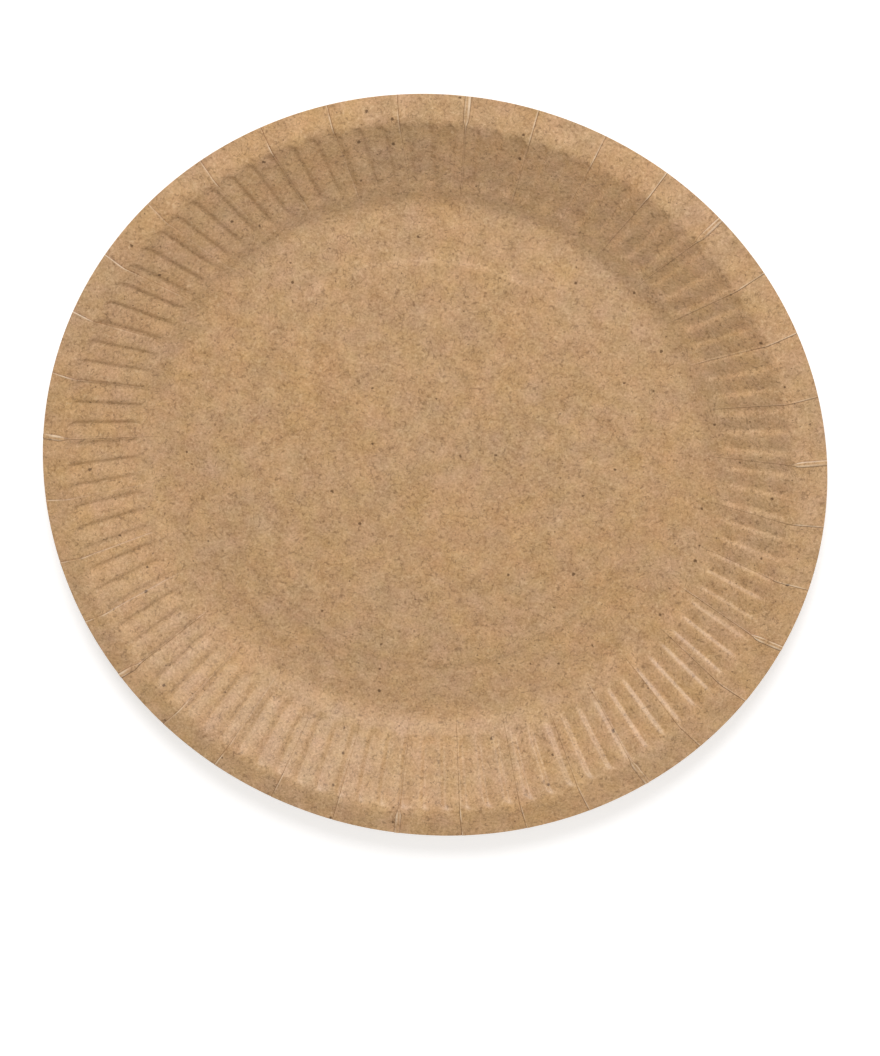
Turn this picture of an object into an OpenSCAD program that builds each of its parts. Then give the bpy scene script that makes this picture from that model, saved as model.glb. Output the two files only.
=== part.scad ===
/* [Plate] */
// Diameter of the cut edge of the rim
plate_d = 230; // [180:1:260]
// Overall height, from the surface it rests on to the top of the brim
plate_h = 13; // [10:0.5:18]
// Thickness of the board
board_t = 0.45; // [0.3:0.05:0.8]
// How far the pressing lies off the middle of the rim, towards -X
press_shift = 1.4; // [0:0.1:2.4]

/* [Bottom] */
// Width of the flat ring on which the plate rests
foot_w = 3; // [2:0.5:5]
// Width of the low channel, from that ring to the middle of the panel's step
channel_w = 12.5; // [8:0.5:16]
// Height of the raised panel's underside
panel_rise = 1.1; // [0.9:0.1:2]
// Height of the small step round the panel
step_h = 0.5; // [0.3:0.1:0.8]
// Width of that step
step_w = 2.8; // [1.2:0.1:4]

/* [Wall and brim] */
// Slope of the wall
wall_angle = 26; // [24:0.5:32]
// Radius of the bend from the bottom to the wall, on the underside
foot_bend_r = 8; // [5:0.5:10]
// Radius of the bend from the wall to the brim, on the underside
brim_bend_r = 6; // [4:0.5:8]
// Width of the brim, from its crest to the edge
brim_w = 7; // [5:0.5:10]
// How steeply the brim falls towards the edge
brim_drop = 6; // [0:0.5:8]

/* [Flutes] */
// Number of flutes pressed into the wall
flute_count = 100; // [60:1:110]
// Plain wall between the lower bend and the flutes
flute_in_gap = 3.5; // [1:0.5:6]
// From the outer ends of the flutes to the crest of the brim
flute_out_gap = 1.5; // [1:0.5:4]
// Width of the ridge between two flutes, at their inner ends
ridge_w = 0.4; // [0.3:0.1:1.5]
// Depth of a flute at its steep side
flute_depth = 0.45; // [0.2:0.05:0.6]
// Slope of a flute's steep side and round its ends
flute_side = 28; // [18:1:34]

/* [Creases] */
// Number of creases scored in the blank, from its middle outwards
crease_count = 36; // [12:1:48]
// Width of a crease
crease_w = 0.25; // [0.15:0.05:0.4]
// Depth of a crease
crease_depth = 0.15; // [0.1:0.05:0.2]
// Distance between the two lines of a wide tuck, at the edge
tuck_w = 1.6; // [1:0.1:2.5]
// Length of a wide tuck, from where its lines part to the edge
tuck_len = 9; // [5:0.5:14]

/* [Hidden] */
$fn = 64;
// Creases that are wide tucks, counted anticlockwise from +X
wide_tucks = [1, 5, 9, 18, 22, 27, 31, 34];
// Straight pieces that stand for each bend
bend_steps = 2;
// Blank left past the edge before it is cut
cut_margin = 4;
// Depth of the forms below the surface that the plate rests on
die_base = 5;
// A flute's gentle side runs out to the wall this far inside its outline
flute_run_out = 0.4;
// How far the forms of a flute stand over the wall, and reach below its floor
flute_clear = 0.6;
flute_over = 0.2;
// A flute's ends have two corners each, turned by this angle
corner_turn = 45;
// Least half width of the floor between two sloping ends
end_floor = 0.2;
plate_r = plate_d / 2;
// Middle of the bend from the wall to the brim, about which the underside turns
brim_bend_x = plate_r - brim_w;
brim_bend_z = plate_h - board_t - brim_bend_r;
// Length of the straight wall between its two bends
wall_len = (brim_bend_z + brim_bend_r * cos(wall_angle) - foot_bend_r * (1 - cos(wall_angle)))
    / sin(wall_angle);
// The point where the wall leaves the lower bend, on the underside
wall_x = brim_bend_x - brim_bend_r * sin(wall_angle) - wall_len * cos(wall_angle);
wall_z = foot_bend_r * (1 - cos(wall_angle));
// Outer edge of the resting ring, and middle of the panel's step
foot_r = wall_x - foot_bend_r * sin(wall_angle);
panel_r = foot_r - foot_w - channel_w;
// The flutes' ends, and the room that each has there
flute_in_r = wall_x + flute_in_gap;
flute_out_r = brim_bend_x - flute_out_gap;
flute_pitch = 360 / flute_count;
flute_w = 2 * PI * flute_in_r / flute_count - ridge_w;
crease_pitch = 360 / crease_count;
// A crease starts where the wall does, and is cut past the edge
crease_in_r = foot_r + press_shift;
crease_out_r = plate_r + cut_margin;
// Where the two lines of a wide tuck part
fork_r = plate_r - tuck_len;

// Point of a bend whose centre is above the sheet
function hollow_bend(a, o) =
    [foot_r + (foot_bend_r - o) * sin(a), foot_bend_r - (foot_bend_r - o) * cos(a)];

// Point of a bend whose centre is below the sheet
function crown_bend(a, o) =
    [brim_bend_x - (brim_bend_r + o) * sin(a), brim_bend_z + (brim_bend_r + o) * cos(a)];

// End of the brim, which falls straight from its crest to past the cut edge
function brim_end(o) =
    let (crest = crown_bend(0, o), run = plate_r + press_shift + cut_margin - crest[0])
    [crest[0] + run, crest[1] - run * tan(brim_drop)];

// Section line of the sheet, raised by o above its underside
function section(o) = concat(
    [[0, panel_rise + o],
     [panel_r - step_w / 2, panel_rise + o],
     [panel_r + step_w / 2, panel_rise - step_h + o],
     [foot_r - foot_w, o]],
    [for (i = [0:bend_steps]) hollow_bend(wall_angle * i / bend_steps, o)],
    [for (i = [0:bend_steps]) crown_bend(wall_angle * (1 - i / bend_steps), o)],
    [brim_end(o)]);

// Solid form that fills everything under the section line
module die(o) {
    rotate_extrude()
        polygon(concat([[0, -die_base]], section(o), [[brim_end(o)[0], -die_base]]));
}

// Trough with sloping sides along a line turned from x, its half width taken where z is 0
module trough(turn, half, reach) {
    low = max(half - (flute_depth + flute_over) / tan(flute_side), end_floor);
    deep = (half - low) * tan(flute_side);
    high = half + flute_clear / tan(flute_side);
    rotate([90, 0, 90 + turn])
        translate([0, 0, -reach])
            linear_extrude(2 * reach)
                polygon([[-low, -deep], [low, -deep], [high, flute_clear], [-high, flute_clear]]);
}

// One flute's hollow, in the plane of the wall: x runs up the wall, y across, z off it
module flute(widen) {
    half = flute_w / 2 + widen;
    half_len = (flute_out_r - flute_in_r) / 2 / cos(wall_angle) + widen;
    middle = ((flute_in_r + flute_out_r) / 2 - wall_x) / cos(wall_angle);
    // Half width of the slanting troughs that touch the round end of the outline
    corner = (half_len - half) * cos(corner_turn) + half;
    reach = 2 * half_len;
    side_run = flute_depth / tan(flute_side);
    top_run = flute_clear / tan(flute_side);
    end_y = flute_w / 2 - flute_run_out;
    floor_slope = flute_depth / (end_y + flute_w / 2 - side_run);
    translate([middle, 0, 0])
        intersection() {
            // Steep side, then a floor that slants up until it runs out of the wall
            rotate([90, 0, 90])
                translate([0, 0, -reach])
                    linear_extrude(2 * reach)
                        polygon([[-half - top_run, flute_clear],
                                 [-half + side_run, -flute_depth],
                                 [end_y + flute_clear / floor_slope, flute_clear]]);
            // Ends with sloping corners
            trough(90, half_len, reach);
            trough(corner_turn, corner, reach);
            trough(-corner_turn, corner, reach);
        }
}

// All flutes, for the side of the sheet that is raised by o, with a ridge on +X
module flutes(o) {
    widen = (board_t - o) * tan(flute_side / 2);
    for (k = [0:flute_count - 1])
        rotate([0, 0, (k + 0.5) * flute_pitch])
            translate([wall_x - o * sin(wall_angle), 0, wall_z + o * cos(wall_angle)])
                rotate([0, -wall_angle, 0])
                    flute(widen);
}

// Line of a crease, seen from above
module crease_line() {
    translate([crease_in_r, -crease_w / 2])
        square([crease_out_r - crease_in_r, crease_w]);
}

// Line of a wide tuck, which parts into two on the brim
module tuck_line() {
    half = crease_w / 2;
    spread = tuck_w / 2 * (crease_out_r - fork_r) / tuck_len;
    notch_r = fork_r + half * (crease_out_r - fork_r) / spread;
    polygon([[crease_in_r, -half], [fork_r, -half],
             [crease_out_r, -spread - half], [crease_out_r, -spread + half],
             [notch_r, 0],
             [crease_out_r, spread - half], [crease_out_r, spread + half],
             [fork_r, half], [crease_in_r, half]]);
}

// The creases lie about the middle of the blank, and are this deep in the pressed surface
module creases() {
    difference() {
        for (k = [0:crease_count - 1])
            rotate([0, 0, k * crease_pitch])
                linear_extrude(plate_h + die_base)
                    if (len(search(k, wide_tucks)) > 0)
                        tuck_line();
                    else
                        crease_line();
        translate([-press_shift, 0, 0])
            die(board_t - crease_depth);
    }
}

// The whole plate, one sheet pressed between an upper and a lower form
module plate() {
    color("burlywood")
        difference() {
            intersection() {
                translate([-press_shift, 0, 0])
                    die(board_t);
                translate([0, 0, -2 * die_base])
                    cylinder(r = plate_r, h = plate_h + 3 * die_base);
            }
            translate([-press_shift, 0, 0])
                flutes(board_t);
            creases();
            translate([-press_shift, 0, 0])
                difference() {
                    die(0);
                    flutes(0);
                }
        }
}

plate();
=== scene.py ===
# %% [markdown]
# # A pressed paper plate
# The plate is one round sheet of brown kraft board, pressed hot between two forms.
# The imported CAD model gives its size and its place, so it is loaded first and kept as the frame.
# Every piece made below is in metres in that same frame, and lies where the CAD solid lies.

# %% Load the frame
import bmesh
import bpy
from math import asin, atan2, cos, exp, hypot, pi, radians, sin, sqrt, tan
from mathutils import Euler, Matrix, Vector, noise


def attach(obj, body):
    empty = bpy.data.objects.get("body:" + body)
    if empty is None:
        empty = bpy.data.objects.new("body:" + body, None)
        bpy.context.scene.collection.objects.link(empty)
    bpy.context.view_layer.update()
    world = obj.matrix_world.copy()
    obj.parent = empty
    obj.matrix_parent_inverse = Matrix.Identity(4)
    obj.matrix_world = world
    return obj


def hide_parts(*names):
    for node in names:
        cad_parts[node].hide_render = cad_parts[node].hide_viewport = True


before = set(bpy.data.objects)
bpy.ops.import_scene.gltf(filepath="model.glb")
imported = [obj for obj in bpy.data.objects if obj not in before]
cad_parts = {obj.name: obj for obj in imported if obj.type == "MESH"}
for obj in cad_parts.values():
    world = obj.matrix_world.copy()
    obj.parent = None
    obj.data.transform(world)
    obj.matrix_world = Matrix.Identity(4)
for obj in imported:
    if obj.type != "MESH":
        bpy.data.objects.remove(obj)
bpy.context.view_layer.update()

# %% [markdown]
# ## Sizes of the plate
# A designer fixes the section first: where the sheet bends, how steep the wall is, how wide the brim is.
# The values are those of the CAD source, in millimetres, and the rest is worked out from them.
# Working them out again, instead of measuring the imported mesh, keeps the bends true arcs.

# %% Sizes in millimetres
RIM_R = 115.0
HEIGHT = 13.0
BOARD = 0.45
PRESS_SHIFT = 1.4
FOOT_W = 3.0
CHANNEL_W = 12.5
PANEL_RISE = 1.1
STEP_H = 0.5
STEP_W = 2.8
WALL = radians(26)
FOOT_BEND = 8.0
BRIM_BEND = 6.0
BRIM_W = 7.0
BRIM_DROP = radians(6)

crest_r = RIM_R - BRIM_W
crest_z = HEIGHT - BOARD - BRIM_BEND
wall_len = (crest_z + BRIM_BEND * cos(WALL) - FOOT_BEND * (1 - cos(WALL))) / sin(WALL)
wall_r = crest_r - BRIM_BEND * sin(WALL) - wall_len * cos(WALL)
foot_r = wall_r - FOOT_BEND * sin(WALL)
panel_r = foot_r - FOOT_W - CHANNEL_W
print(f"resting ring {foot_r:.2f}, wall starts {wall_r:.2f}, panel {panel_r:.2f}, crest {crest_r:.2f}")

# %% [markdown]
# ## The section of the pressed face
# From the middle outwards the face is a flat panel, a small step down, a shallow channel, the ring
# that the plate rests on, a bend, a straight wall, a second bend and the brim.
# One function gives the height and the slope at any distance from the middle, so that the rows of the
# mesh can be close where the sheet bends and far apart where it is flat.

# %% Height and slope of the pressed face
foot_top = FOOT_BEND - BOARD
crest_top = BRIM_BEND + BOARD
bend_out = foot_r + foot_top * sin(WALL)
crest_in = crest_r - crest_top * sin(WALL)
crest_out = crest_r + crest_top * sin(BRIM_DROP)


def pressed_face(r):
    """Height above the table and slope of the plain face, at distance r from the middle."""
    step_in, step_out = panel_r - STEP_W / 2, panel_r + STEP_W / 2
    ring_in = foot_r - FOOT_W
    if r < step_in:
        return PANEL_RISE + BOARD, 0.0
    if r < step_out:
        t = (r - step_in) / STEP_W
        return PANEL_RISE + BOARD - STEP_H * t * t * (3 - 2 * t), -STEP_H * 6 * t * (1 - t) / STEP_W
    if r < ring_in:
        fall = (PANEL_RISE - STEP_H) / (ring_in - step_out)
        return BOARD + fall * (ring_in - r), -fall
    if r < foot_r:
        return BOARD, 0.0
    if r < bend_out:
        a = asin((r - foot_r) / foot_top)
        return FOOT_BEND - foot_top * cos(a), a
    if r < crest_in:
        return FOOT_BEND - foot_top * cos(WALL) + (r - bend_out) * tan(WALL), WALL
    if r < crest_out:
        a = asin((crest_r - r) / crest_top)
        return crest_z + crest_top * cos(a), a
    return crest_z + crest_top * cos(BRIM_DROP) - (r - crest_out) * tan(BRIM_DROP), -BRIM_DROP


step_rows = [panel_r + STEP_W * (i / 6 - 0.5) for i in range(7)]
FACE_ROWS = [0, 25, 46, 58] + step_rows + [69, 73.5, 76.1, 77.6, 78.8, 79.9, 81.2, 82.6, 84.2, 85.5, 86.3]
FACE_ROWS += [87.2, 88.3, 90.2, 93.2, 96.6, 100.0, 102.4, 103.8, 104.6, 105.2, 105.8, 106.4, 107.1, 108.0]
FACE_ROWS += [109.0, 110.6, 112.8, 114.7, RIM_R]
UNDER_ROWS = [RIM_R, 114.6, 110.5, 108.0, 106.2, 104.5, 101.5, 96.5, 91.5, 88.2, 86.4, 84.6, 82.6, 80.8]
UNDER_ROWS += [78.9, 76.1, 70] + step_rows[::-2] + [50, 0]
print(len(FACE_ROWS), "rows on the face,", len(UNDER_ROWS), "on the underside")

# %% [markdown]
# ## Spin the section into a sheet
# A plate is a turned form, so its section is spun once round the upright axis. The line runs from the
# middle out along the face, over the cut edge and back along the underside, and so closes the sheet.
# Each point of the line carries its distance from the middle and its side, and the spin copies them.
# 900 steps give each of the 100 flutes nine columns. The wall of the face needs finer ones for its
# creases, so the edges that run round it there are cut in half once more.

# %% Spin the sheet
COLUMNS = 1800
FINE_FROM = 79.5
sheet = bmesh.new()
from_middle = sheet.verts.layers.float.new("from_middle")
side = sheet.verts.layers.float.new("side")
# Attributes for the finish: painted shade in a crease's gap, and a lip's pale mark of wear and painted
# highlight
gap_shade = sheet.verts.layers.float.new("gap_shade")
lip_wear_highlight = sheet.verts.layers.float.new("lip_wear_highlight")
line = []
for under, rows in ((0, FACE_ROWS), (1, UNDER_ROWS)):
    for r in rows:
        height, slope = pressed_face(r)
        out, up = r + under * BOARD * sin(slope), height - under * BOARD * cos(slope)
        point = sheet.verts.new((out / 1000, 0, up / 1000))
        point[from_middle], point[side] = r, under
        line.append(point)
edges = [sheet.edges.new(pair) for pair in zip(line, line[1:])]
bmesh.ops.spin(sheet, geom=line + edges, cent=(0, 0, 0), axis=(0, 0, 1), dvec=(0, 0, 0),
               angle=2 * pi, steps=COLUMNS // 2, use_merge=True, use_normal_flip=False, use_duplicate=False)
bmesh.ops.remove_doubles(sheet, verts=[v for v in sheet.verts if v[from_middle] < 1], dist=1e-6)
round_the_wall = [e for e in sheet.edges if all(v[side] == 0 and v[from_middle] > FINE_FROM for v in e.verts)
                  and abs(e.verts[0][from_middle] - e.verts[1][from_middle]) < 0.01]
bmesh.ops.subdivide_edges(sheet, edges=round_the_wall, cuts=1)
bmesh.ops.recalc_face_normals(sheet, faces=sheet.faces[:])
print(len(sheet.verts), "points,", sum(len(f.verts) - 2 for f in sheet.faces), "triangles")

# %% [markdown]
# ## Flutes
# The wall is pressed into 100 shallow hollows with round ends. Each has a steep side and a long gentle
# side, which is why one side of the plate shows bright lines and the other dark ones.
# The hollow is the higher of two slopes, the side and the slanted floor. Soft board doesn't follow the
# form into its corners, so a smooth maximum rounds them and takes some of the form's depth away. The
# inner end fades out, and the outer one is steep. The side is narrow, so columns are drawn in to it.

# %% Depth of a flute
FLUTES = 100
FLUTE_IN_GAP = 3.5
FLUTE_OUT_GAP = 1.5
RIDGE_W = 0.4
FORM_DEPTH = 0.66
FLUTE_SIDE = radians(30)
FLUTE_RUN_OUT = 0.4
# Widths over which the corners at the foot and at the top of a side are rounded
SOFT_FOOT = 0.20
SOFT_TOP = SOFT_FOOT * 0.9
# How long the fade is at each end, and how far it reaches past that end
IN_FADE, IN_PAST = 2.5, 0.5
OUT_FADE, OUT_PAST = 1.4, 1.1
flute_in = wall_r + FLUTE_IN_GAP
flute_out = crest_r - FLUTE_OUT_GAP
flute_half = pi * flute_in / FLUTES - RIDGE_W / 2
flute_end = flute_half - FLUTE_RUN_OUT
bank_w = FORM_DEPTH / tan(FLUTE_SIDE)
floor_slope = FORM_DEPTH / (flute_end + flute_half - bank_w)


def clamp(value):
    """The value kept between 0 and 1."""
    return min(max(value, 0), 1)


def higher(a, b, soft):
    """The higher of two heights, with the corner between them rounded."""
    return (a + b + sqrt((a - b) ** 2 + soft ** 2)) / 2


def eased(value):
    """A value from 0 to 1 that starts and stops gently."""
    return clamp(value) ** 2 * (3 - 2 * clamp(value))


def flute(x, y):
    """Height of the face over the plain wall, x up the wall from its foot and y across the flute."""
    start, end = (flute_in - wall_r) / cos(WALL), (flute_out - wall_r) / cos(WALL)
    inside = flute_half - hypot(x - min(max(x, start + flute_half), end - flute_half), y)
    bank = -inside * tan(FLUTE_SIDE)
    slanted_floor = -(flute_end - y) * floor_slope
    pressed = -higher(-higher(bank, slanted_floor, SOFT_FOOT), 0, SOFT_TOP)
    return pressed * eased((x - start + IN_PAST) / IN_FADE) * eased((end + OUT_PAST - x) / OUT_FADE)


# How strongly the columns are drawn in, how far past the flutes that starts, and how fast it grows
PULL = 0.5
PULL_PAST = 3
PULL_FADE = 2


def drawn_to_bank(number, r):
    """A place counted in flutes, moved so that even steps come close together on the steep side."""
    middle = 0.5 + (bank_w / 2 - flute_half) * FLUTES / (2 * pi * r)
    from_inside = clamp((r - flute_in + PULL_PAST) / PULL_FADE)
    from_outside = clamp((flute_out + PULL_PAST - r) / PULL_FADE)
    pull = PULL * from_inside * from_outside
    return number - pull * sin(2 * pi * (number - middle)) / (2 * pi)


middle_x = (flute_in + flute_out - 2 * wall_r) / 2 / cos(WALL)
print("deepest", round(min(flute(middle_x, y / 10) for y in range(-25, 26)), 3), "mm")

# %% [markdown]
# ## Creases and tucks
# The flat blank is scored with 36 lines, where the board gathers when it is pressed.
# Most end as a fine lap, one lip a little over the other. Eight are wider, a folded strip that stands up.
# They lie about the middle of the blank, which isn't quite the middle of the pressing.
# Two attributes of the points tell the finish where the gap lies in shade, which is painted as a dark line,
# and where a lip is pale, partly from wear and partly as a painted highlight.

# %% Height of the creases
CREASES = 36
TUCKS = (1, 5, 9, 18, 22, 27, 31, 34)
# Where a tuck starts to open, over what length it does, and its half width before and after
TUCK_FROM = RIM_R - 9
TUCK_OPENING = 3
TUCK_CLOSED = 0.12
TUCK_OPEN = 0.78
# A crease starts here, or further out by a part of the spread, and grows over the length of the fade
CREASE_FROM = 80
CREASE_SPREAD = 9
CREASE_FADE = 4
# The share of it that shows on the wall, and the place from which more of it shows
WALL_SHARE = 0.45
WALL_SHARE_TO = 102
# Height of a tuck's strip, then height and width of a lap's lip and of the board sunk beside each
STRIP_HEIGHT = 0.20
LIP = 0.14, 0.9
LAP_SUNK = 0.11, 0.4
TUCK_SUNK = 0.03, 0.5
# A point so near to a lap's line is on it, and stays in the plain face
ON_LINE = 0.02


def tuck_half(r):
    """Half the width of a tuck: an even strip on the brim that closes to one line on the wall."""
    return TUCK_CLOSED + (TUCK_OPEN - TUCK_CLOSED) * eased((r - TUCK_FROM) / TUCK_OPENING)


def crease_strength(k, r):
    """How much of a crease shows: all of it on the brim, less on the wall, none inside its inner end."""
    inner_end = CREASE_FROM + CREASE_SPREAD * abs(noise.noise(Vector((k * 5.3, 2.5, 0))))
    kind = 0.75 + 0.9 * abs(noise.noise(Vector((k * 3.7, 0.5, 0))))
    on_wall = WALL_SHARE + (1 - WALL_SHARE) * clamp((r - WALL_SHARE_TO) / CREASE_FADE)
    return kind * clamp((r - inner_end) / CREASE_FADE) * on_wall


def fall_off(height, width, d):
    """A height that falls off with the distance d from its line."""
    return height * exp(-d / width)


def crease(k, r, d):
    """Height of the board over the plain face at r, at distance d anticlockwise of crease k."""
    if k in TUCKS:
        half = tuck_half(r)
        if abs(d) <= half:
            return STRIP_HEIGHT * crease_strength(k, r)
        return -fall_off(*TUCK_SUNK, abs(d) - half)
    if abs(d) < ON_LINE:
        return 0.0
    return crease_strength(k, r) * (fall_off(*LIP, d) if d > 0 else -fall_off(*LAP_SUNK, -d))


print(len(TUCKS), "tucks and", CREASES - len(TUCKS), "laps")

# %% [markdown]
# ## Press the sheet
# Each point of the spun sheet is moved to where the press leaves it. Its column gives its angle, and
# the columns beside a crease are drawn in towards it, so that a fine lap keeps its sharp lip.
# Its row gives its distance from the middle of the pressing, and the rows of the brim even out until
# the last one is the cut rim. Then the point is lifted along the section's own normal by the flute,
# the crease and a slight unevenness, and a point of the underside is set back by the board's thickness.

# %% Where each column lies
per_crease = COLUMNS // CREASES
# Places of the columns nearest to a lap, and how near to a tuck's corner and on its foot they lie
LAP_COLUMNS = 0, 0.08, 0.24, 0.50
CORNER = 0.06
TUCK_FOOT = 0.3
# So many columns beyond these go over to the even spacing
GOING_OVER = 3


def out_along(angle, r):
    """Distance from the rim's middle of the point at that angle that is r from the pressing's middle."""
    c = PRESS_SHIFT * cos(angle)
    return -c + sqrt(c * c - PRESS_SHIFT ** 2 + r * r)


def column_angle(column, r):
    """Angle of a column about the rim's middle, drawn in to the flutes that lie about the pressing's."""
    angle = 2 * pi * column / COLUMNS
    out = out_along(angle, r)
    number = atan2(out * sin(angle), out * cos(angle) + PRESS_SHIFT) / (2 * pi) * FLUTES
    return angle + (drawn_to_bank(number, r) - number) * 2 * pi / FLUTES


def beside_crease(k, n, r):
    """Distance along the circle from crease k to the n-th column beside it."""
    close = LAP_COLUMNS
    if k % CREASES in TUCKS:
        half = tuck_half(r)
        close = 0, half * 0.4, half - CORNER, half + CORNER, half + TUCK_FOOT
    if abs(n) < len(close):
        return close[n] if n >= 0 else -close[-n]
    even = (column_angle(k * per_crease + n, r) - 2 * pi * k / CREASES) * r
    if abs(n) >= len(close) + GOING_OVER:
        return even
    start = close[-1] if n > 0 else -close[-1]
    return start + (even - start) * (abs(n) - len(close) + 1) / (GOING_OVER + 1)


print("a crease every", per_crease, "columns")

# %% [markdown]
# ## Board that isn't quite even
# A real plate is a little wavy, no two flutes are pressed equally deep, and a lip's pale mark, partly wear
# and partly painted highlight, is stronger in one place than in another. Noise of the place gives all three,
# so that they are the same on every run.

# %% What differs from place to place
# Columns beside a lap and beside a tuck that lie in the gap, which get painted shade, and those on the lips,
# which get the pale mark
IN_GAP = (0, -1), (-3, 3)
ON_LIP = (1, 2), (-2, -1, 2)
# A lip's pale mark, of wear and painted highlight, is weaker on the wall, and full from a little past here
PALE_LIP_FROM = 105


def uneven(x, y):
    """Height of the board's slow waves and fine ripples, over the plain face."""
    waves = 0.08 * noise.noise(Vector((x / 28, y / 28, 3.0)))
    ripples = 0.015 * noise.noise(Vector((x / 5, y / 5, 7.0)))
    return waves + ripples


def pressed_depth(number):
    """How deep one flute is, as a share of the even depth."""
    return 1 + 0.25 * noise.noise(Vector((number * 1.7, 4.0, 0)))


def wear_highlight_share(strength, x, y, r):
    """How pale a lip of that strength is at this place, partly from wear and partly as a painted highlight.
    """
    patchy = 0.5 + 1.6 * noise.noise(Vector((x / 4, y / 4, 9.0)))
    return clamp(strength * patchy) * (0.35 + 0.65 * clamp((r - PALE_LIP_FROM) / 3))


print("flutes are", [round(pressed_depth(number), 2) for number in range(5)], "of the even depth, and so on")

# %% [markdown]
# ## Move the points
# All of the pressing happens in one pass, because the mesh has every point that the creases need.
# The pass finds a point's place seen from above, then how far the point is lifted off the plain face,
# and moves it. A lift of the resting ring could push it through the floor, so no point goes below 0.

# %% Move every point
for vert in sheet.verts:
    r = vert[from_middle]
    if r < 1:
        continue
    # k is the nearest crease, n the column's number beside it and d the distance from it
    column = round(atan2(vert.co.y, vert.co.x) / (2 * pi) * COLUMNS)
    k = round(column / per_crease)
    n = column - k * per_crease
    if vert[side] == 0 and r > FINE_FROM:
        d = beside_crease(k, n, r)
        angle = 2 * pi * k / CREASES + d / r
    else:
        angle = column_angle(column, r)
        d = (angle - 2 * pi * k / CREASES) * r
    k %= CREASES
    # out and angle are about the rim's middle; x, y, r and turn are about the pressing's
    out = out_along(angle, min(r, crest_r))
    if r > crest_r:
        out += (RIM_R - out) * (r - crest_r) / (RIM_R - crest_r)
    x, y = out * cos(angle) + PRESS_SHIFT, out * sin(angle)
    r, turn = hypot(x, y), atan2(y, x)
    height, slope = pressed_face(r)
    lift = uneven(x, y)
    if flute_in - 1 < r < flute_out + 1:
        number = turn / (2 * pi) * FLUTES
        across = (number % 1 - 0.5) * 2 * pi * r / FLUTES
        lift += pressed_depth(int(number % FLUTES)) * flute((r - wall_r) / cos(WALL), across)
    if r > foot_r:
        lift += crease(k, r, d)
        # A point in a crease's gap gets painted shade
        if vert[side] == 0 and n in IN_GAP[k in TUCKS]:
            vert[gap_shade] = clamp(crease_strength(k, r))
        # A point on a lip gets a pale mark, partly wear and partly painted highlight
        if vert[side] == 0 and n in ON_LIP[k in TUCKS]:
            vert[lip_wear_highlight] = wear_highlight_share(crease_strength(k, r), x, y, r)
    lift -= vert[side] * BOARD
    vert.co = (out * cos(angle) / 1000 - lift * sin(slope) * cos(turn) / 1000,
               out * sin(angle) / 1000 - lift * sin(slope) * sin(turn) / 1000,
               max(height + lift * cos(slope), 0) / 1000)

print("highest point", round(max(v.co.z for v in sheet.verts) * 1000, 3), "mm")

# %% [markdown]
# ## Make the sheet an object
# The face, the underside and the cut edge each get a finish of their own, by the side of their points.
# The corners of the cut edge are marked sharp, so that the shading doesn't run over them.

# %% Make the object
mesh = bpy.data.meshes.new("plate_board")
for finish in ("pressed_face", "underside", "cut_edge"):
    mesh.materials.append(bpy.data.materials.new(finish))
for face in sheet.faces:
    sides = {round(vert[side]) for vert in face.verts}
    face.smooth = True
    face.material_index = min(sides) if len(sides) == 1 else 2
for edge in sheet.edges:
    edge.smooth = len({face.material_index for face in edge.link_faces}) == 1
open_edges = sum(not edge.is_manifold for edge in sheet.edges)
sheet.to_mesh(mesh)
sheet.free()
plate = bpy.data.objects.new("plate_board", mesh)
bpy.context.scene.collection.objects.link(plate)
print(open_edges, "open edges")

# %% [markdown]
# ## Kraft board
# Unbleached board is brown pulp with a fine grain, a little clouded, and full of short fibres.
# The grain and the clouds are noise at two scales. A fibre is a thin line where another noise passes
# its mean, and a fourth noise breaks these lines into short pieces. The specks are bits of bark:
# the cores of a few Voronoi cells, each of its own size. All read Object coordinates, in metres, so
# nothing slides on the sheet. The hot form leaves the face with a low sheen that the underside lacks.

# %% Helpers for the finishes
def shader(name):
    """The node tree of a finish, and its shader."""
    material = bpy.data.materials[name]
    material.use_nodes = True
    return material.node_tree, material.node_tree.nodes["Principled BSDF"]


def add(tree, kind, links=(), **values):
    """A node with its values set by input name, and its inputs linked from (input, socket) pairs."""
    node = tree.nodes.new(kind)
    for key, value in values.items():
        if key in node.inputs:
            node.inputs[key].default_value = value
        else:
            setattr(node, key, value)
    for key, socket in links:
        tree.links.new(socket, node.inputs[key])
    return node


def ramp(tree, socket, low, high, start=(0, 0, 0, 1), end=(1, 1, 1, 1)):
    """Colours from start to end as a value goes from low to high."""
    node = add(tree, "ShaderNodeValToRGB", [("Fac", socket)])
    node.color_ramp.elements[0].position, node.color_ramp.elements[0].color = low, start
    node.color_ramp.elements[1].position, node.color_ramp.elements[1].color = high, end
    return node.outputs["Color"]


def blend(tree, how, factor, under, over):
    """Two colours mixed; factor, under and over are each a socket or a value."""
    node = add(tree, "ShaderNodeMix", data_type="RGBA", blend_type=how)
    for socket, value in zip((node.inputs[0], node.inputs[6], node.inputs[7]), (factor, under, over)):
        if isinstance(value, bpy.types.NodeSocket):
            tree.links.new(value, socket)
        else:
            socket.default_value = value
    return node.outputs[2]


def combined(tree, how, first, second):
    """Two numbers combined; each is a socket or a value."""
    node = add(tree, "ShaderNodeMath", operation=how)
    for socket, value in zip(node.inputs, (first, second)):
        if isinstance(value, bpy.types.NodeSocket):
            tree.links.new(value, socket)
        else:
            socket.default_value = value
    return node.outputs[0]


print("helpers ready")

# %% [markdown]
# ## Fibres and specks
# A fibre is as thin as a hair and a millimetre or two long, and lies any way in the pulp.
# Both patterns give only a share from 0 to 1, and the pulp below gives them their colours.

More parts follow.
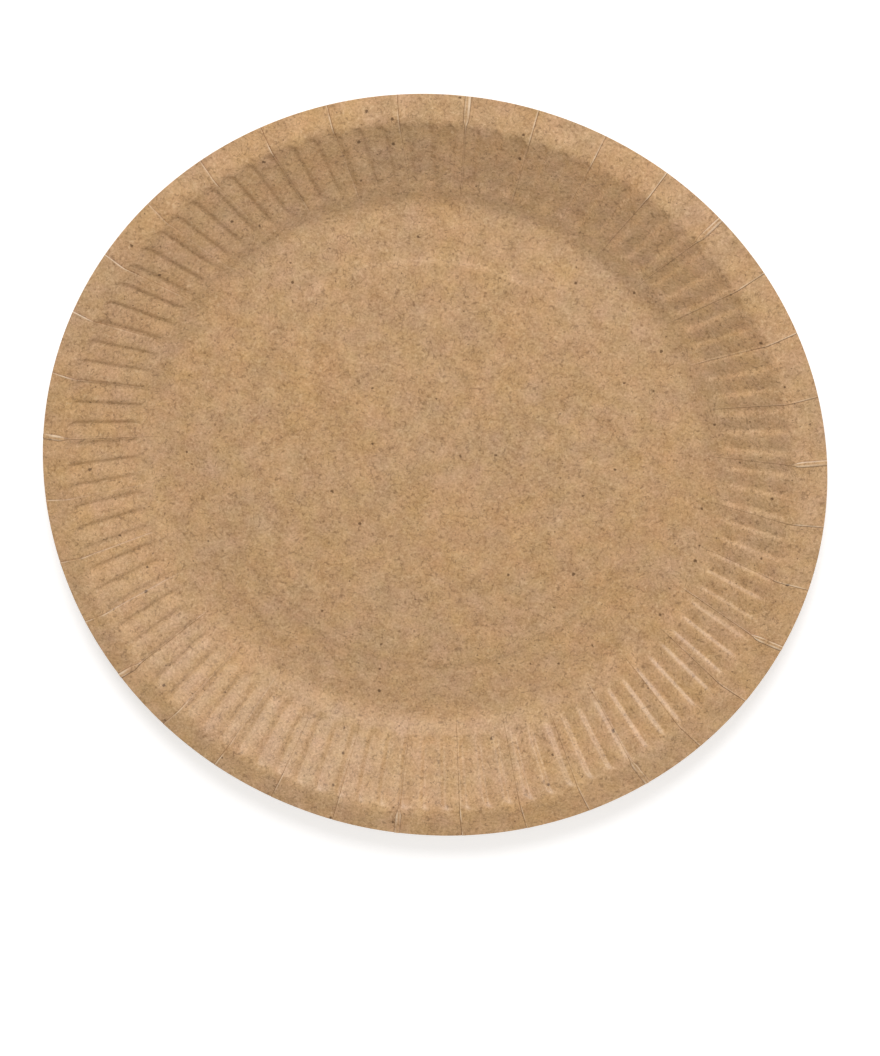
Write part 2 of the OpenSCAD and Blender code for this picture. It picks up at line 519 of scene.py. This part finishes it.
# %% Fibres and specks
def fibres(tree, place):
    """How much of a dark and of a pale fibre is seen."""
    bends = add(tree, "ShaderNodeTexNoise", [("Vector", place)], Scale=430, Detail=1, Roughness=0.5)
    bends = add(tree, "ShaderNodeSeparateColor", [("Color", bends.outputs["Color"])])
    pieces = add(tree, "ShaderNodeTexNoise", [("Vector", place)], Scale=900, Detail=0)
    pieces = pieces.outputs["Fac"]
    off_mean = [combined(tree, "ABSOLUTE", combined(tree, "SUBTRACT", bend, 0.5), 0)
                for bend in bends.outputs]
    nearest = combined(tree, "MINIMUM", off_mean[0], off_mean[1])
    dark = combined(tree, "SUBTRACT", 1, ramp(tree, nearest, 0.006, 0.030))
    pale = combined(tree, "SUBTRACT", 1, ramp(tree, off_mean[2], 0.006, 0.026))
    elsewhere = combined(tree, "SUBTRACT", 1, ramp(tree, pieces, 0.40, 0.54))
    return (combined(tree, "MULTIPLY", dark, ramp(tree, pieces, 0.50, 0.64)),
            combined(tree, "MULTIPLY", pale, elsewhere))


def specks(tree, place, scale, share, size):
    """How much of a speck is seen, for a share of the cells and up to a size counted in cells."""
    cells = add(tree, "ShaderNodeTexVoronoi", [("Vector", place)], voronoi_dimensions="2D", Scale=scale)
    pick = add(tree, "ShaderNodeSeparateColor", [("Color", cells.outputs["Color"])])
    few = ramp(tree, pick.outputs[0], 1 - share, 1 - share + 0.001)
    reach = combined(tree, "MULTIPLY", combined(tree, "ADD", pick.outputs[1], 0.4), size)
    inside = combined(tree, "SUBTRACT", reach, cells.outputs["Distance"])
    return combined(tree, "MULTIPLY", few, ramp(tree, inside, 0.0, size * 0.5))


print("fibres and specks ready")

# %% [markdown]
# ## Colour of the pulp
# Grain and clouds together choose between a pale and a dark brown. Slower patches lean to yellow or to
# pink, and wide ones to red where the form was hotter. Fibres and specks are laid over them, and the
# grain frays the specks' outlines.

# %% Colour of the pulp
def pulp(tree, pale, dark, speck):
    """Colour of kraft pulp, and the height of its grain."""
    place = add(tree, "ShaderNodeTexCoord").outputs["Object"]
    grain = add(tree, "ShaderNodeTexNoise", [("Vector", place)], Scale=1500, Detail=3, Roughness=0.7)
    clouds = add(tree, "ShaderNodeTexNoise", [("Vector", place)], Scale=210, Detail=3, Roughness=0.65)
    mixed = combined(tree, "ADD", combined(tree, "MULTIPLY", grain.outputs["Fac"], 0.66),
                   combined(tree, "MULTIPLY", clouds.outputs["Fac"], 0.34))
    colour = blend(tree, "MIX", ramp(tree, mixed, 0.32, 0.68), dark, pale)
    patches = add(tree, "ShaderNodeTexNoise", [("Vector", place)], Scale=130, Detail=2, Roughness=0.6)
    patches = add(tree, "ShaderNodeSeparateColor", [("Color", patches.outputs["Color"])])
    pinker = ramp(tree, patches.outputs[0], 0.32, 0.68, (1.0, 1.014, 0.95, 1), (1.015, 0.982, 1.01, 1))
    warmer = ramp(tree, patches.outputs[1], 0.32, 0.68, (0.985, 1.0, 1.05, 1), (1.02, 0.995, 0.92, 1))
    wide = add(tree, "ShaderNodeTexNoise", [("Vector", place)], Scale=24, Detail=2, Roughness=0.6)
    redder = ramp(tree, wide.outputs["Fac"], 0.34, 0.66, (0.985, 1.0, 1.04, 1), (1.01, 0.98, 0.92, 1))
    for tint in (pinker, warmer, redder):
        colour = blend(tree, "MULTIPLY", 1.0, colour, tint)
    dark_fibre, pale_fibre = fibres(tree, place)
    colour = blend(tree, "MIX", combined(tree, "MULTIPLY", dark_fibre, 0.45), colour, speck)
    colour = blend(tree, "MIX", combined(tree, "MULTIPLY", pale_fibre, 0.30), colour, (0.80, 0.58, 0.34, 1))
    frayed = add(tree, "ShaderNodeVectorMath", [(0, grain.outputs["Color"])], operation="MULTIPLY_ADD")
    frayed.inputs[1].default_value = (0.0011, 0.0011, 0)
    tree.links.new(place, frayed.inputs[2])
    frayed = frayed.outputs[0]
    small = specks(tree, frayed, scale=420, share=0.13, size=0.085)
    large = specks(tree, frayed, scale=110, share=0.22, size=0.050)
    colour = blend(tree, "MIX", combined(tree, "MULTIPLY", small, 0.70), colour, speck)
    colour = blend(tree, "MIX", combined(tree, "MULTIPLY", large, 0.85), colour, speck)
    return colour, mixed


print("pulp ready")

# %% [markdown]
# ## The three finishes
# The pressed face is smooth and has a low sheen. Its creases hold a dark line of painted shade, and their
# lips are pale, partly from wear down to the paler core and partly as a painted highlight. The underside is
# matt, and the cut edge shows the raw core of the board.

# %% The three finishes
tree, board_face = shader("pressed_face")
colour, grain = pulp(tree, pale=(0.668, 0.428, 0.234, 1), dark=(0.336, 0.188, 0.076, 1),
                     speck=(0.105, 0.046, 0.008, 1))
# The lip's pale mark: the paler core where it is rubbed, and a painted highlight
lip = add(tree, "ShaderNodeAttribute", attribute_name="lip_wear_highlight")
colour = blend(tree, "MIX", combined(tree, "MULTIPLY", lip.outputs["Fac"], 0.6), colour,
               (0.88, 0.70, 0.50, 1))
# Painted shade: the gap of a crease is darkened
gap = add(tree, "ShaderNodeAttribute", attribute_name="gap_shade")
colour = blend(tree, "MULTIPLY", combined(tree, "MULTIPLY", gap.outputs["Fac"], 0.85), colour,
               (0.48, 0.38, 0.28, 1))
tree.links.new(colour, board_face.inputs["Base Color"])
board_face.inputs["Roughness"].default_value = 0.50
board_face.inputs["Specular IOR Level"].default_value = 0.70
bump = add(tree, "ShaderNodeBump", [("Height", grain)], Strength=0.25, Distance=0.00005)
tree.links.new(bump.outputs[0], board_face.inputs["Normal"])

tree, under_face = shader("underside")
colour, grain = pulp(tree, pale=(0.66, 0.425, 0.235, 1), dark=(0.36, 0.205, 0.086, 1),
                     speck=(0.13, 0.060, 0.014, 1))
tree.links.new(colour, under_face.inputs["Base Color"])
under_face.inputs["Roughness"].default_value = 0.72
bump = add(tree, "ShaderNodeBump", [("Height", grain)], Strength=0.5, Distance=0.00008)
tree.links.new(bump.outputs[0], under_face.inputs["Normal"])

tree, edge_face = shader("cut_edge")
colour, grain = pulp(tree, pale=(0.60, 0.44, 0.29, 1), dark=(0.46, 0.32, 0.19, 1),
                     speck=(0.25, 0.15, 0.08, 1))
tree.links.new(colour, edge_face.inputs["Base Color"])
edge_face.inputs["Roughness"].default_value = 0.85
print("finishes:", [slot.name for slot in mesh.materials])

# %% [markdown]
# ## Tie the sheet to the part
# The sheet stands for the CAD node, which stays in the frame for its collision.

# %% Place in the frame
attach(plate, "root")
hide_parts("plate")
print("plate_board replaces plate")

# %% [markdown]
# ## Floor, light and camera
# The plate lies on a plain white floor, which keeps the plate's shadow. A low soft light from beyond the
# far edge shows up the flutes, and a pale dome fills the rest.
# The camera looks down on the plate from the photograph's angle, with a long lens.

# %% Floor
floor_bm = bmesh.new()
bmesh.ops.create_grid(floor_bm, x_segments=1, y_segments=1, size=12)
floor_mesh = bpy.data.meshes.new("floor")
floor_bm.to_mesh(floor_mesh)
floor_bm.free()
floor = bpy.data.objects.new("floor", floor_mesh)
bpy.context.scene.collection.objects.link(floor)
floor_mesh.materials.append(bpy.data.materials.new("white_floor"))
tree, floor_face = shader("white_floor")
floor_face.inputs["Base Color"].default_value = (0.86, 0.86, 0.86, 1)
floor_face.inputs["Roughness"].default_value = 0.9
floor_face.inputs["Emission Color"].default_value = (1, 1, 1, 1)
path = add(tree, "ShaderNodeLightPath")
seen = combined(tree, "ADD", path.outputs["Is Camera Ray"], path.outputs["Is Glossy Ray"])
seen = combined(tree, "ADD", seen, path.outputs["Is Transmission Ray"])
glow = combined(tree, "MULTIPLY", seen, 0.45)
tree.links.new(glow, floor_face.inputs["Emission Strength"])
print("floor is white to the camera")

# %% [markdown]
# ## Light
# The window is a wide soft disk beyond the plate. A much weaker one at the near right does what a pale
# wall would, and picks out the flutes on the near side.

# %% Light
def soft_lamp(name, size, watts, place):
    """A round lamp that faces the plate."""
    data = bpy.data.lights.new(name, "AREA")
    data.shape, data.size, data.energy, data.color = "DISK", size, watts, (0.985, 1.0, 1.03)
    lamp = bpy.data.objects.new(name, data)
    bpy.context.scene.collection.objects.link(lamp)
    lamp.location = place
    lamp.rotation_euler = (-lamp.location).to_track_quat("-Z", "Y").to_euler()


soft_lamp("window", size=0.7, watts=16.2, place=(-0.06, 1.13, 0.97))
soft_lamp("pale_wall", size=0.3, watts=0.45, place=(0.53, -0.25, 0.38))
world = bpy.data.worlds.new("pale_room")
bpy.context.scene.world = world
world.use_nodes = True
world.node_tree.nodes["Background"].inputs["Color"].default_value = (1, 0.955, 0.90, 1)
world.node_tree.nodes["Background"].inputs["Strength"].default_value = 0.49
bpy.context.scene.view_settings.view_transform = "Standard"
print("lamps:", [lamp.name for lamp in bpy.data.lights], "and a dome")

# %% [markdown]
# ## Camera
# The lens and the place come from fitting the rim and the foot circle to the photograph's two ellipses.

# %% Camera
camera_data = bpy.data.cameras.new("camera")
camera_data.lens = 105.0
camera_data.sensor_width = 36
camera_data.clip_start = 0.01
camera = bpy.data.objects.new("camera", camera_data)
bpy.context.scene.collection.objects.link(camera)
camera.location = (0.0494, 0.3126, 0.8551)
camera.rotation_euler = Euler((radians(-20.782), radians(5.117), radians(5.309)))
bpy.context.scene.camera = camera
print("camera", round(camera.location.length, 3), "m from the plate")
